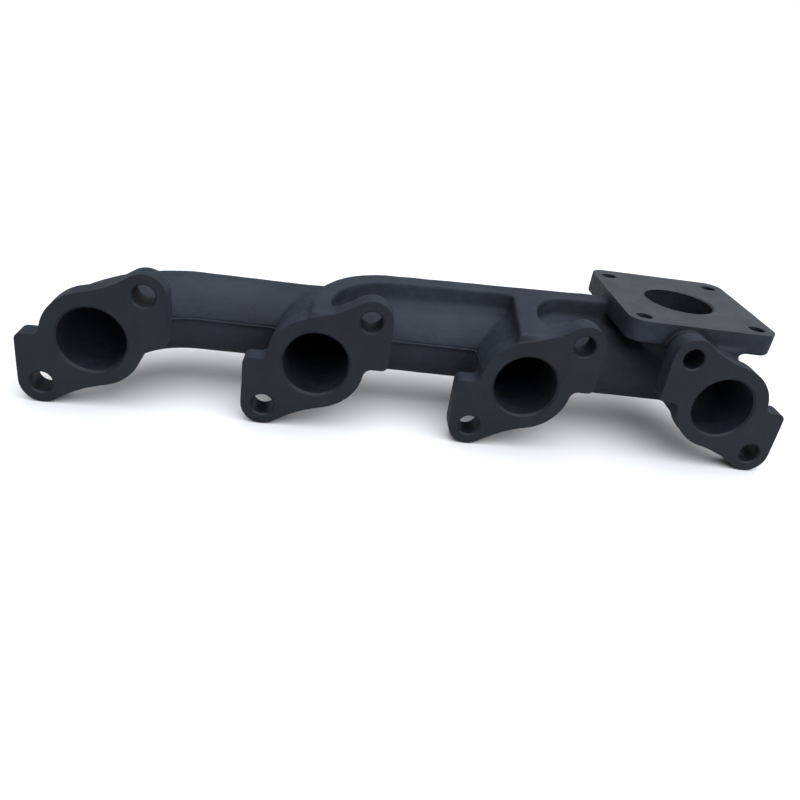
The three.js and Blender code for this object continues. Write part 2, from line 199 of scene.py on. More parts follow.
def outline_distance(points, u, v):
    """Distance to a closed outline in a plane, negative inside it."""
    nearest = np.full(np.broadcast(u, v).shape, 1e9)
    inside = np.zeros(nearest.shape, bool)
    for (au, av), (bu, bv) in zip(points, np.roll(points, -1, 0)):
        du, dv = bu - au, bv - av
        length = du * du + dv * dv
        if length < 1e-12:
            continue
        t = np.clip(((u - au) * du + (v - av) * dv) / length, 0, 1)
        nearest = np.minimum(nearest, (u - au - t * du) ** 2 + (v - av - t * dv) ** 2)
        if abs(dv) > 1e-9:
            inside ^= ((av > v) != (bv > v)) & (u < au + (v - av) * du / dv)
    return np.where(inside, -1, 1) * np.sqrt(nearest)


def arc(centre, radius, start, end, steps=10):
    """Points along part of a circle."""
    angles = np.linspace(start, end, steps + 1)
    return np.column_stack([centre[0] + radius * np.cos(angles), centre[1] + radius * np.sin(angles)])


def flange_outline():
    """Across and up: a round body with a lobed pad on each side, alike after half a turn."""
    direction = math.atan2(STUD[1], STUD[0])
    from_body, from_lobe, apart = BODY_R + WAIST_R, LOBE_R + WAIST_R, math.hypot(*STUD)
    opening = (apart ** 2 + from_body ** 2 - from_lobe ** 2) / (2 * apart * from_body)
    body_angle = direction + math.acos(opening)
    waist = (from_body * math.cos(body_angle), from_body * math.sin(body_angle))
    lobe_angle = math.atan2(waist[1] - STUD[1], waist[0] - STUD[0])
    fillet_x = math.sqrt((BODY_R + PAD_FILLET_R) ** 2 - PAD_FILLET_R ** 2)
    fillet_angle = math.atan2(PAD_FILLET_R, fillet_x)
    pad_x = STUD[0] + LOBE_R - PAD_CORNER_R
    half = np.vstack([
        arc(STUD, LOBE_R, lobe_angle, 0),
        arc((pad_x, PAD_CORNER_R), PAD_CORNER_R, 0, -math.pi / 2, 6),
        arc((fillet_x, -PAD_FILLET_R), PAD_FILLET_R, math.pi / 2, math.pi - fillet_angle, 6),
        arc((0, 0), BODY_R, -fillet_angle, body_angle - math.pi, 14),
        arc((-waist[0], -waist[1]), WAIST_R, body_angle, lobe_angle, 6),
    ])
    return np.vstack([half, -half])


def corner_curve(start, corner, end, steps=10):
    """A curve that leaves and arrives along the two sides of a corner."""
    t = np.linspace(0, 1, steps + 1)[:, None]
    return (1 - t) ** 2 * np.array(start) + 2 * t * (1 - t) * np.array(corner) + t ** 2 * np.array(end)


def rib_outline():
    """Across and back: from the second flange, round along the log, with the third flange's branch."""
    turn = (PORT_X[2] + RIB_TURN_R, RIB_TURN_Y)
    heading = math.atan(RIB_DRIFT)
    outer_r, inner_r = RIB_TURN_R + RIB_HALF_WIDTH, RIB_TURN_R - RIB_HALF_WIDTH

    def edge(radius, x):
        return (x, RIB_TURN_Y + RIB_DRIFT * (x - turn[0]) + radius / math.cos(heading))

    def branch(side, y):
        return (PORT_X[3] + BRANCH_SHIFT + BRANCH_LEAN * y + side * BRANCH_HALF_WIDTH, y)

    def corner(side):
        x = (branch(side, 0)[0] + BRANCH_LEAN * edge(inner_r, 0)[1]) / (1 - BRANCH_LEAN * RIB_DRIFT)
        return edge(inner_r, x)

    left, right = corner(-1), corner(1)
    small, large = BRANCH_FILLETS
    flare_x = branch(1, FLANGE_BACK)[0] + right[1] - large - FLANGE_BACK
    quarter = math.pi / 2
    return np.vstack([
        [(PORT_X[2] - RIB_HALF_WIDTH, RIB_FRONT_Y)],
        arc(turn, outer_r, 2 * quarter, quarter + heading, 20),
        [edge(outer_r, TURBO_X), edge(inner_r, TURBO_X)],
        corner_curve(edge(inner_r, right[0] + large), right, branch(1, right[1] - large)),
        corner_curve(branch(1, right[1] - large), branch(1, FLANGE_BACK), (flare_x, FLANGE_BACK)),
        [(flare_x, RIB_FRONT_Y), branch(-1, RIB_FRONT_Y)],
        corner_curve(branch(-1, left[1] - small), left, edge(inner_r, left[0] - small), 6),
        arc(turn, inner_r, quarter + heading, 2 * quarter, 18),
        [(PORT_X[2] + RIB_HALF_WIDTH, RIB_FRONT_Y)],
    ])


def hull_of_circles(first, first_r, second, second_r):
    """Outline of a belt stretched round two circles."""
    across = np.subtract(second, first)
    direction = math.atan2(across[1], across[0])
    open_angle = math.acos((first_r - second_r) / np.hypot(*across))
    return np.vstack([
        arc(second, second_r, direction - open_angle, direction + open_angle, 24),
        arc(first, first_r, direction + open_angle, direction + 2 * math.pi - open_angle, 24),
    ])


def log_distance(x, y, z, radius, front):
    """A bar that bends back from the first port, runs along the log and ends in a ball."""
    bend_x = PORT_X[1] + ELBOW_R
    past = np.maximum(x - PORT_X[4], 0)
    round_bend = np.hypot(x - bend_x, y - ELBOW_Y) - ELBOW_R
    across = np.where(x < bend_x, np.where(y > ELBOW_Y, round_bend, x - PORT_X[1]), y - LOG_Y)
    return np.maximum(np.sqrt(across ** 2 + past ** 2 + z ** 2) - radius, front - y)


def log_outside(x, y, z):
    """The log and its elbow, which swells a little towards the first flange."""
    swell = np.clip((SWELL_Y - y) / SWELL_LENGTH, 0, 1) ** 2
    swell = np.where(x < PORT_X[1] + ELBOW_R, swell, 0)
    return log_distance(x, y, z, LOG_R + (NECK_R - LOG_R) * swell, FLANGE_BACK - PORT_FRONT)


def bar_distance(x, y, z, centre_x, radius, front):
    """A round bar from the front back to the log's axis, with a ball end there."""
    past = np.maximum(y - LOG_Y, 0)
    return np.maximum(np.sqrt((x - centre_x) ** 2 + z ** 2 + past ** 2) - radius, front - y)


def neck_distance(x, y, z, number):
    """A neck from inside its flange to the log, narrowing on the way."""
    narrowing = np.clip((y - NARROWING_Y) / (LOG_Y - NARROWING_Y), 0, 1) ** 2
    radius = NECK_R - (NECK_R - LOG_R + SUNK) * narrowing
    return bar_distance(x, y, z, PORT_X[number], radius, FLANGE_BACK - PORT_FRONT)


def riser_distance(x, y, z, top_r, foot_r, top_z):
    """A leaning cone from the log's axis up to the turbo flange."""
    share = np.clip(z / PLATE_LOW[2], 0, 1)
    centre_y = LOG_Y + (TURBO_Y - LOG_Y) * share
    side = np.hypot(x - TURBO_X, y - centre_y) - (foot_r + (top_r - foot_r) * share)
    return np.maximum(np.maximum(side, z - top_z), -z)


def rib_distance(x, y, z):
    """The stiffening rib, wider towards its foot so that it leaves the mould."""
    top = RIB_FRONT_Z + RIB_RISE_BACK * y + RIB_RISE_ALONG * (x - PORT_X[2])
    side = outline_distance(rib_outline(), x, y) - RIB_DRAFT * np.clip(top - z, 0, RIB_DRAFT_DEPTH)
    return np.maximum(rounded_cut(side, z - top, sizes().rib_edge / MM), -z)


def web_distance(x, y, z):
    """Fills the corner between the last neck, the riser and the turbo flange's underside."""
    outline = hull_of_circles(WEB_FRONT, WEB_FRONT_R, (TURBO_X, TURBO_Y), RISER_TOP_R)
    side = outline_distance(outline, x, y)
    return np.maximum(rounded_cut(side, WEB_LOW_Z - z, WEB_EDGE), z - PLATE_LOW[2] - SLACK)


def plate_distance(x, y, z):
    """The turbo flange, a square plate with round corners."""
    half = (PLATE_HIGH[0] - PLATE_LOW[0]) / 2 - TURBO_CORNER_R
    u, v = np.abs(x - TURBO_X) - half, np.abs(y - TURBO_Y) - half
    corner = np.hypot(np.maximum(u, 0), np.maximum(v, 0)) + np.minimum(np.maximum(u, v), 0)
    below = rounded_cut(corner - TURBO_CORNER_R, PLATE_LOW[2] - z, sizes().cast_edge / MM)
    return np.maximum(below, z - PLATE_HIGH[2] - OVERLAP)


def lean_of(number):
    """The last port flange is mirrored against the others."""
    return -1 if number == 4 else 1


def flange_distance(x, y, z, number):
    side = outline_distance(flange_outline(), lean_of(number) * (x - PORT_X[number]), z)
    back = rounded_cut(side, y - FLANGE_BACK, sizes().flange_edge / MM)
    return np.maximum(back, -OVERLAP - y)


def nut_pocket_distance(x, y, z):
    """Room behind the last flange for the nut of its upper stud."""
    radius, depth = NUT_POCKET
    side = np.hypot(x - (PORT_X[4] - STUD[0]), z - STUD[1]) - radius
    return rounded_cut(np.maximum(side, FLANGE_BACK - y), y - FLANGE_BACK - depth, NUT_POCKET_EDGE)


def unevenness(x, y, z):
    """The slow waviness that a sand mould leaves, from -1 to 1."""
    return sum(np.sin(a * x + b * y + c * z + start) for (a, b, c), start in WAVES) / len(WAVES)


class Field:
    """Values on an even grid of points, and readings between them."""

    def __init__(self, step):
        low, high = (np.array(corner) / MM for corner in CAD_BOX)
        self.step = step
        self.low = low - MARGIN
        counts = np.ceil((high - low + 2 * MARGIN) / step).astype(int) + 1
        self.axes = [self.low[axis] + step * np.arange(counts[axis]) for axis in range(3)]
        self.values = np.full(tuple(counts), 60.0, np.float32)

    def window(self, low, high):
        """The part of the grid between two corners, and its points along each axis."""
        spans = [slice(max(0, int((low[a] - self.low[a]) / self.step)),
                       max(0, int((high[a] - self.low[a]) / self.step)) + 2) for a in range(3)]
        x, y, z = (self.axes[a][spans[a]] for a in range(3))
        return tuple(spans), x[:, None, None], y[None, :, None], z[None, None, :]

    def add(self, distance, low, high, fillet, *more):
        """Joins a shape on, with a fillet."""
        around = fillet + OVERLAP
        spans, x, y, z = self.window(np.array(low) - around, np.array(high) + around)
        shape = distance(x, y, z, *more)
        self.values[spans] = blend(self.values[spans], shape, fillet)

    def read(self, points):
        """The distance at any points, from the eight grid points round each."""
        place = (points - self.low) / self.step
        top = np.array(self.values.shape) - 2
        cell = np.clip(np.floor(place).astype(int), 0, top)
        share = np.clip(place - cell, 0, 1)
        total = 0
        for corner in itertools.product((0, 1), repeat=3):
            weight = np.where(corner, share, 1 - share).prod(axis=1)
            total = total + weight * self.values[tuple((cell + corner).T)]
        return total

    def slope(self, points):
        found = np.empty(points.shape)
        for axis in range(3):
            offset = np.zeros(3)
            offset[axis] = self.step
            found[:, axis] = self.read(points + offset) - self.read(points - offset)
        return found / (2 * self.step)

    def outward(self, points):
        slope = self.slope(points)
        return slope / np.maximum(np.linalg.norm(slope, axis=1), 1e-6)[:, None]


def outside_field(step):
    """The casting with its passages still solid."""
    field = Field(step)
    fillet = sizes().fillet / MM
    reach, front = PORT_X[4] + LOG_R, FLANGE_BACK - PORT_FRONT
    field.add(log_outside, (-reach - SLACK, front, -NECK_R), (reach, LOG_Y + LOG_R, NECK_R), SEAMLESS)
    for n in PORTS[1:]:
        low = (PORT_X[n] - NECK_R, front, -NECK_R)
        high = (PORT_X[n] + NECK_R, LOG_Y + LOG_R, NECK_R)
        field.add(neck_distance, low, high, sizes().neck_fillet / MM, n)
    spans, x, y, z = field.window(*(np.array(corner) / MM for corner in CAD_BOX))
    # The mould halves don't quite match: the lower half is stepped in, and the upper one's lip out.
    lower_half = np.clip((PARTING_Z - z) / 0.8 + 0.5, 0, 1)
    skirt = np.clip(1 - (z - PARTING_Z) / SKIRT_HEIGHT, 0, 1) * (z > PARTING_Z)
    fading = np.clip((PORT_X[3] + STEP_FADE - x) / STEP_FADE, 0, 1)
    field.values[spans] += sizes().mould_shift / MM * (lower_half - skirt) * fading
    into_plate = PLATE_LOW[2] + SLACK
    low = (TURBO_X - RISER_TOP_R, TURBO_Y - RISER_TOP_R, 0)
    high = (TURBO_X + RISER_TOP_R, TURBO_Y + RISER_TOP_R, into_plate)
    field.add(riser_distance, low, high, fillet, RISER_TOP_R, RISER_FOOT_R, into_plate)
    web_low = (low[0], FLANGE_BACK - SLACK, WEB_LOW_Z)
    field.add(web_distance, web_low, (WEB_WINDOW_END, high[1], into_plate), fillet)
    rib_low = (PORT_X[2] - RIB_HALF_WIDTH - SLACK, 0, 0)
    field.add(rib_distance, rib_low, RIB_WINDOW_END, sizes().rib_fillet / MM)
    field.add(plate_distance, PLATE_LOW, PLATE_HIGH + OVERLAP, fillet)
    spans, x, y, z = field.window(*NUT_WINDOW)
    field.values[spans] = -blend(-field.values[spans], nut_pocket_distance(x, y, z), 1.0)
    for n in PORTS:
        low, high = in_mm(f"port_flange_{n}")
        field.add(flange_distance, low - (0, OVERLAP, 0), high, sizes().flange_fillet / MM, n)
    spans, x, y, z = field.window(*(np.array(corner) / MM for corner in CAD_BOX))
    wave = sizes().unevenness / MM
    field.values[spans] += (wave * (1 + unevenness(x, y, z))).astype(np.float32)
    return field


def passage_field(step):
    """The gas passages: the log's bore, one from each port, and one up the riser."""
    field = Field(step)
    reach = PORT_X[4] + PORT_BORE_R
    high = (reach, LOG_Y + PORT_BORE_R, PORT_BORE_R)
    field.add(log_distance, (-reach, -MARGIN, -PORT_BORE_R), high, SEAMLESS, PORT_BORE_R, BEFORE_PORTS)
    for n in PORTS[1:]:
        low = (PORT_X[n] - PORT_BORE_R, -MARGIN, -PORT_BORE_R)
        high = (PORT_X[n] + PORT_BORE_R, LOG_Y + PORT_BORE_R, PORT_BORE_R)
        field.add(bar_distance, low, high, CORED_FILLET, PORT_X[n], PORT_BORE_R, BEFORE_PORTS)
    low = (TURBO_X - TURBO_BORE_R, LOG_Y - PORT_BORE_R, 0)
    high = (TURBO_X + TURBO_BORE_R, TURBO_Y + TURBO_BORE_R, PLATE_HIGH[2] + MARGIN)
    field.add(riser_distance, low, high, CORED_FILLET, TURBO_BORE_R, PORT_BORE_R, ABOVE_PLATE)
    return field


# ---- Mesh of a field ----------------------------------------------------------------------------

CELLS = (slice(0, -1), slice(1, None))


def crossing_points(values):
    """For each cell on the zero level, the mean of its edges' crossings; and the cells' numbers."""
    inside = values < 0
    sides = list(itertools.product((0, 1), repeat=values.ndim))
    count = sum(inside[tuple(CELLS[i] for i in side)].astype(np.int8) for side in sides)
    place = np.argwhere((count > 0) & (count < len(sides)))
    number = np.full(count.shape, -1, np.int64)
    number[tuple(place.T)] = np.arange(len(place))
    total, hits = np.zeros(place.shape), np.zeros(len(place))
    for axis in range(values.ndim):
        for start in (np.array(side) for side in sides if not side[axis]):
            end = start.copy()
            end[axis] = 1
            first, second = (values[tuple((place + corner).T)] for corner in (start, end))
            crossed = (first < 0) != (second < 0)
            share = np.where(crossed, first / np.where(crossed, first - second, 1), 0)
            point = np.repeat(start[None, :].astype(float), len(place), 0)
            point[:, axis] += share
            total[crossed] += point[crossed]
            hits += crossed
    return place + total / hits[:, None], number


def changes_along(inside, axis):
    """Grid points whose next one along an axis is on the other side of the surface."""
    low, high = [slice(None)] * inside.ndim, [slice(None)] * inside.ndim
    low[axis], high[axis] = CELLS
    return np.argwhere(inside[tuple(low)] != inside[tuple(high)])


def surface_of(field):
    """Corners and four-sided faces of the field's zero surface, facing out of the metal."""
    values = field.values
    inside = values < 0
    places, number = crossing_points(values)
    corners = field.low + field.step * places
    faces = []
    for axis in range(3):
        b, c = (axis + 1) % 3, (axis + 2) % 3
        at = changes_along(inside, axis)
        at = at[(at[:, b] > 0) & (at[:, c] > 0)
                & (at[:, b] < values.shape[b] - 1) & (at[:, c] < values.shape[c] - 1)]
        ring = []
        for shift_b, shift_c in ((-1, -1), (0, -1), (0, 0), (-1, 0)):
            around = at.copy()
            around[:, b] += shift_b
            around[:, c] += shift_c
            ring.append(number[tuple(around.T)])
        quads = np.stack(ring, 1)
        backwards = ~inside[tuple(at.T)]
        quads[backwards] = quads[backwards][:, ::-1]
        faces.append(quads)
    for _ in range(2):  # two steps of at most 0.4 of the grid's bring the corners onto the surface
        slope = field.slope(corners)
        size = np.maximum((slope ** 2).sum(1), 0.2)
        move = slope * (field.read(corners) / size)[:, None]
        corners -= np.clip(move, -0.4 * field.step, 0.4 * field.step)
    return corners, np.vstack(faces)


def mesh_from(name, corners, faces):
    """A mesh in metres from corners in millimetres."""
    mesh = bpy.data.meshes.new(name)
    sides = faces.shape[1]
    mesh.vertices.add(len(corners))
    mesh.vertices.foreach_set("co", (corners * MM).astype(np.float32).ravel())
    mesh.loops.add(faces.size)
    mesh.loops.foreach_set("vertex_index", faces.astype(np.int32).ravel())
    mesh.polygons.add(len(faces))
    mesh.polygons.foreach_set("loop_start", np.arange(0, faces.size, sides, dtype=np.int32))
    mesh.update(calc_edges=True)
    mesh.validate()
    return mesh


# ---- Cutting ------------------------------------------------------------------------------------

def in_scene(name, data):
    """A new object of a mesh, lamp or camera."""
    made = bpy.data.objects.new(name, data)
    bpy.context.scene.collection.objects.link(made)
    return made


def plain_mesh(holder):
    """The mesh that an object's modifier makes. The object is used up."""
    graph = bpy.context.evaluated_depsgraph_get()
    result = bpy.data.meshes.new_from_object(holder.evaluated_get(graph), depsgraph=graph)
    what = f"{holder.modifiers[0].name} of {holder.data.name}"
    holder.modifiers.clear()
    bpy.data.objects.remove(holder)
    if not result.polygons:
        raise RuntimeError(f"{what} left nothing")
    return result


def combined(mesh, tool, operation):
    """A new mesh: the first one cut by the second, or what they share."""
    work, cutter = in_scene("work", mesh), in_scene("cutter", tool)
    modifier = work.modifiers.new(operation, "BOOLEAN")
    modifier.solver = "MANIFOLD"
    modifier.operation = operation
    modifier.object = cutter
    result = plain_mesh(work)
    bpy.data.objects.remove(cutter)
    return result


def block(low, high):
    corners = np.array(list(itertools.product(*zip(low, high))), float)
    faces = np.array([(0, 1, 3, 2), (4, 6, 7, 5), (0, 4, 5, 1), (2, 3, 7, 6), (0, 2, 6, 4), (1, 5, 7, 3)])
    return mesh_from("block", corners, faces)


def parted(mesh, axis, value):
    """The mesh cut in two by a plane square to an axis: the low side, then the high side."""
    index = "xyz".index(axis)
    low, high = np.full(3, -FAR), np.full(3, FAR)
    below, above = high.copy(), low.copy()
    below[index] = above[index] = value
    return tuple(combined(mesh, block(*ends), "INTERSECT") for ends in ((low, below), (above, high)))


def turned_cutter(profile, centre, axis, segments):
    """A solid of revolution from (radius, along) pairs; along runs into the metal."""
    angles = np.linspace(0, 2 * math.pi, segments, endpoint=False)
    rings = []
    for radius, along in profile:
        across, up = radius * np.cos(angles), radius * np.sin(angles)
        along = np.full(segments, along if axis == "y" else -along)
        ring = (across, along, up) if axis == "y" else (across, up, along)
        rings.append(np.array(centre) + np.column_stack(ring))
    mesh = bpy.data.meshes.new("cutter")
    faces = [tuple(range(segments))]
    for level in range(len(profile) - 1):
        base = level * segments
        for step in range(segments):
            after = (step + 1) % segments
            faces.append((base + step, base + segments + step, base + segments + after, base + after))
    last = (len(profile) - 1) * segments
    faces.append(tuple(range(last + segments - 1, last - 1, -1)))
    mesh.from_pydata((np.vstack(rings) * MM).tolist(), [], faces)
    if signed_volume(mesh) < 0:
        mesh.flip_normals()
    return mesh


def signed_volume(mesh):
    """Below zero when the faces point inwards."""
    mesh.calc_loop_triangles()
    co = np.empty(len(mesh.vertices) * 3)
    mesh.vertices.foreach_get("co", co)
    index = np.empty(len(mesh.loop_triangles) * 3, np.int32)
    mesh.loop_triangles.foreach_get("vertices", index)
    a, b, c = co.reshape(-1, 3)[index.reshape(-1, 3)].transpose(1, 0, 2)
    return float((a * np.cross(b, c)).sum() / 6)


def mouth(radius, chamfer, depth):
    """Profile of a hole with a chamfered mouth, starting in front of the face."""
    wide = radius + chamfer
    return [(wide, -BEFORE_FACE), (wide, 0), (radius, chamfer), (radius, depth)]


# ---- Materials ----------------------------------------------------------------------------------

def node(tree, kind, settings=None, **links):
    """Adds a node. settings are its own properties, or a colour ramp's (place, linear colour) stops,
    and links are values or sockets for its inputs, by name or by an underscore and a number."""
    made = tree.nodes.new(kind)
    for name, value in (settings or {}).items():
        if name == "stops":
            elements = made.color_ramp.elements
            while len(elements) < len(value):
                elements.new(0.5)
            for element, (place, colour) in zip(elements, value):
                element.position, element.color = place, (*colour, 1)
        else:
            setattr(made, name, value)
    for name, value in links.items():
        key = int(name[1:]) if name[0] == "_" and name[1:].isdigit() else name.replace("_", " ")
        socket = made.inputs[key]
        if isinstance(value, bpy.types.NodeSocket):
            tree.links.new(value, socket)
        else:
            socket.default_value = value
    return made


def new_material(name, specular):
    """A new material with its node tree, its shader and the place on the piece."""
    material = bpy.data.materials.new(name)
    material.use_nodes = True
    tree = material.node_tree
    shader = tree.nodes["Principled BSDF"]
    shader.inputs["IOR"].default_value = 1.5
    shader.inputs["Specular IOR Level"].default_value = specular
    return material, tree, shader, node(tree, "ShaderNodeTexCoord").outputs["Object"]


def rgba(code):
    return (*linear(code), 1)


def cast_paint(name, tones, wear, roughness, grain):
    """Paint over a sand-cast skin. grain is its bump's height in millimetres."""
    material, tree, shader, place = new_material(name, specular=0.16)
    # The coating pools unevenly: patches 30 mm across, and finer ones of 4 mm.
    patches = node(tree, "ShaderNodeTexNoise", Vector=place, Scale=33.0, Detail=3.0, Roughness=0.55)
    mottle = node(tree, "ShaderNodeTexNoise", Vector=place, Scale=250.0, Detail=4.0, Roughness=0.6)
    fine_part = node(tree, "ShaderNodeMath", {"operation": "MULTIPLY"}, _0=mottle.outputs["Fac"], _1=0.45)
    both = node(tree, "ShaderNodeMath", {"operation": "MULTIPLY_ADD"},
                _0=patches.outputs["Fac"], _1=0.55, _2=fine_part.outputs[0])
    stops = list(zip((0.36, 0.5, 0.66), map(linear, tones)))
    colour = node(tree, "ShaderNodeValToRGB", {"stops": stops}, Fac=both.outputs[0])
    # Edges are rubbed in handling, in a broken line 1 to 2 mm wide.
    rubbed = node(tree, "ShaderNodeAttribute", {"attribute_name": "edge"})
    broken = node(tree, "ShaderNodeTexNoise", Vector=place, Scale=420.0, Detail=3.0, Roughness=0.7)
    strength = node(tree, "ShaderNodeMath", {"operation": "MULTIPLY", "use_clamp": True},
                    _0=rubbed.outputs["Fac"], _1=broken.outputs["Fac"])
    worn = node(tree, "ShaderNodeMapRange", Value=strength.outputs[0],
                _1=0.30, _2=0.62, _3=0.0, _4=wear)
    with_wear = node(tree, "ShaderNodeMix", {"data_type": "RGBA"}, Factor=worn.outputs[0],
                     _6=colour.outputs["Color"], _7=rgba("#5d636c"))
    # Painted shade: creases and hollows are darkened towards near black, where shade falls.
    hollow = node(tree, "ShaderNodeAttribute", {"attribute_name": "hollow"})
    crease_darkening = node(tree, "ShaderNodeMath", {"operation": "MULTIPLY", "use_clamp": True},
                  _0=hollow.outputs["Fac"], _1=0.85)
    final = node(tree, "ShaderNodeMix", {"data_type": "RGBA"}, Factor=crease_darkening.outputs[0],
                 _6=with_wear.outputs[2], _7=rgba("#090c11"))
    tree.links.new(final.outputs[2], shader.inputs["Base Color"])
    low, high = roughness
    rough = node(tree, "ShaderNodeMapRange", Value=mottle.outputs["Fac"], _1=0.3, _2=0.7, _3=low, _4=high)
    tree.links.new(rough.outputs[0], shader.inputs["Roughness"])
    # Sand grain of 0.3 mm, drawn 1 mm wide so that it shows, over softer lumps of 3 mm.
    grains = node(tree, "ShaderNodeTexNoise", Vector=place, Scale=900.0, Detail=4.0, Roughness=0.65)
    lumps = node(tree, "ShaderNodeTexVoronoi", {"feature": "SMOOTH_F1"}, Vector=place, Scale=330.0,
                 Smoothness=0.6)
    fine = node(tree, "ShaderNodeBump", Height=grains.outputs["Fac"], Distance=grain * MM, Strength=0.7)
    coarse = node(tree, "ShaderNodeBump", Height=lumps.outputs["Distance"], Distance=grain * 1.3 * MM,
                  Strength=0.5, Normal=fine.outputs[0])
    tree.links.new(coarse.outputs[0], shader.inputs["Normal"])
    return material


def machined_paint(name, tones, lines):
    """Paint over a milled face: nearly flat, with the cutter's faint marks showing through."""
    material, tree, shader, place = new_material(name, specular=0.18)
    patches = node(tree, "ShaderNodeTexNoise", Vector=place, Scale=60.0, Detail=4.0, Roughness=0.6)
    specks = node(tree, "ShaderNodeTexNoise", Vector=place, Scale=700.0, Detail=3.0, Roughness=0.6)
    fine_part = node(tree, "ShaderNodeMath", {"operation": "MULTIPLY"}, _0=specks.outputs["Fac"], _1=0.4)
    both = node(tree, "ShaderNodeMath", {"operation": "MULTIPLY_ADD"},
                _0=patches.outputs["Fac"], _1=0.6, _2=fine_part.outputs[0])
    stops = list(zip((0.38, 0.62), map(linear, tones)))
    colour = node(tree, "ShaderNodeValToRGB", {"stops": stops}, Fac=both.outputs[0])
    tree.links.new(colour.outputs["Color"], shader.inputs["Base Color"])
    rough = node(tree, "ShaderNodeMapRange", Value=patches.outputs["Fac"], _1=0.3, _2=0.7, _3=0.42, _4=0.56)
    tree.links.new(rough.outputs[0], shader.inputs["Roughness"])
    # Feed marks 0.8 mm apart, on a slow sweep of a large cutter.
    marks = node(tree, "ShaderNodeTexWave", {"wave_type": "RINGS", "rings_direction": lines},
                 Vector=place, Scale=62.0, Distortion=0.6, Detail=2.0, Detail_Scale=1.0)
    fine = node(tree, "ShaderNodeBump", Height=marks.outputs["Fac"], Distance=0.02 * MM, Strength=0.5)
    coarse = node(tree, "ShaderNodeBump", Height=specks.outputs["Fac"], Distance=0.08 * MM, Strength=0.6,
                  Normal=fine.outputs[0])
    tree.links.new(coarse.outputs[0], shader.inputs["Normal"])
    return material


def finishes():
    """The materials, made once."""
    if not _made.get("finishes"):
        look = bpy.context.scene.manifold_finish
        _made["finishes"] = {
            # Grey cast iron from a sand mould under sprayed black heat paint: matt, grainy, uneven.
            "cast": cast_paint("cast_iron_sand_cast_heat_paint",
                               ("#181d23", "#1d232a", "#242a31"), look.wear, (0.58, 0.74), 0.22),
            # The same iron inside the passages, where little paint reaches: rough and dull, with darker
            # tones than outside as painted shade in the passages.
            "bore": cast_paint("cast_iron_sand_cored_passage",
                               ("#0d1116", "#13181f", "#191f28"), 0.0, (0.62, 0.78), 0.3),
            # Milled port faces under the same paint: flatter, closer and a little glossier.
            "face": machined_paint("cast_iron_milled_port_face_paint", ("#0f141a", "#151a21"), "Y"),
            # The turbo flange's milled top under the same paint, in much lighter tones than the port faces:
            # painted light on the face that looks up.
            "plate": machined_paint("cast_iron_milled_turbo_face_paint", ("#2a2d31", "#34373b"), "Z"),
        }
    return _made["finishes"]


# ---- The casting, cut into the CAD's pieces -----------------------------------------------------

_made = {}


def sizes():
    return bpy.context.scene.manifold_sizes


def casting():
    """The fields and the raw pieces by CAD node, made once."""
    if "raw" in _made:
        return _made
    step = sizes().grid_step / MM * 1
    outside, passages = outside_field(step), passage_field(step)
    metal = Field(step)
    metal.values = np.maximum(outside.values, -passages.values)
    trimmed = Field(step)
    trimmed.values = np.maximum(metal.values, -trimmed.axes[1][None, :, None].astype(np.float32))
    over = trimmed.axes[2][None, None, :] - PLATE_HIGH[2]
    trimmed.values = np.maximum(trimmed.values, over.astype(np.float32))
    whole = mesh_from("casting", *surface_of(metal))
    raw = {}
    front, rest = parted(whole, "y", FLANGE_BACK)
    front = parted(front, "y", 0)[1]
    for n in PORTS[:3]:
        raw[f"port_flange_{n}"], front = parted(front, "x", (PORT_X[n] + PORT_X[n + 1]) / 2)
    raw["port_flange_4"] = front
    left, right = parted(rest, "x", float(PLATE_LOW[0]))
    below, plate = parted(right, "z", float(PLATE_LOW[2]))
    raw["turbo_flange"] = parted(plate, "z", float(PLATE_HIGH[2]))[0]
    box = block((NECK_4_LEFT, 0, -FAR), (FAR, NECK_BACK, FAR))
    raw["port_neck_4"] = combined(below, box, "INTERSECT")
    collector = combined(below, box, "DIFFERENCE")
    raw["collector_lower"], raw["turbo_riser"] = parted(collector, "z", PARTING_Z)
    rest = left
    for name, end in zip(STRETCHES, STRETCH_ENDS):
        if name == "junction_2":  # the rib stands on the log from here on
            rest, ribs = parted(rest, "z", RIB_FOOT)
        part, rest = parted(rest, "x", end) if name != STRETCHES[-1] else (rest, None)
        if name in NECK_ON:
            raw[NECK_ON[name]], part = parted(part, "y", NECK_BACK)
        raw[f"{name}_lower"], raw[f"{name}_upper"] = parted(part, "z", PARTING_Z)
    for side, number, crest in zip(parted(ribs, "x", RIB_SPLIT_X), (2, 3), ("2_3", "3_4")):
        raw[f"saddle_rib_{number}"], raw[f"crest_rib_{crest}"] = parted(side, "y", NECK_BACK)
    _made.update(raw=raw, outside=outside, passages=passages, metal=metal, trimmed=trimmed)
    return _made


def read_vectors(items, field):
    count = len(items)
    found = np.empty(count * 3, np.float32)
    items.foreach_get(field, found)
    return found.reshape(-1, 3).astype(float)


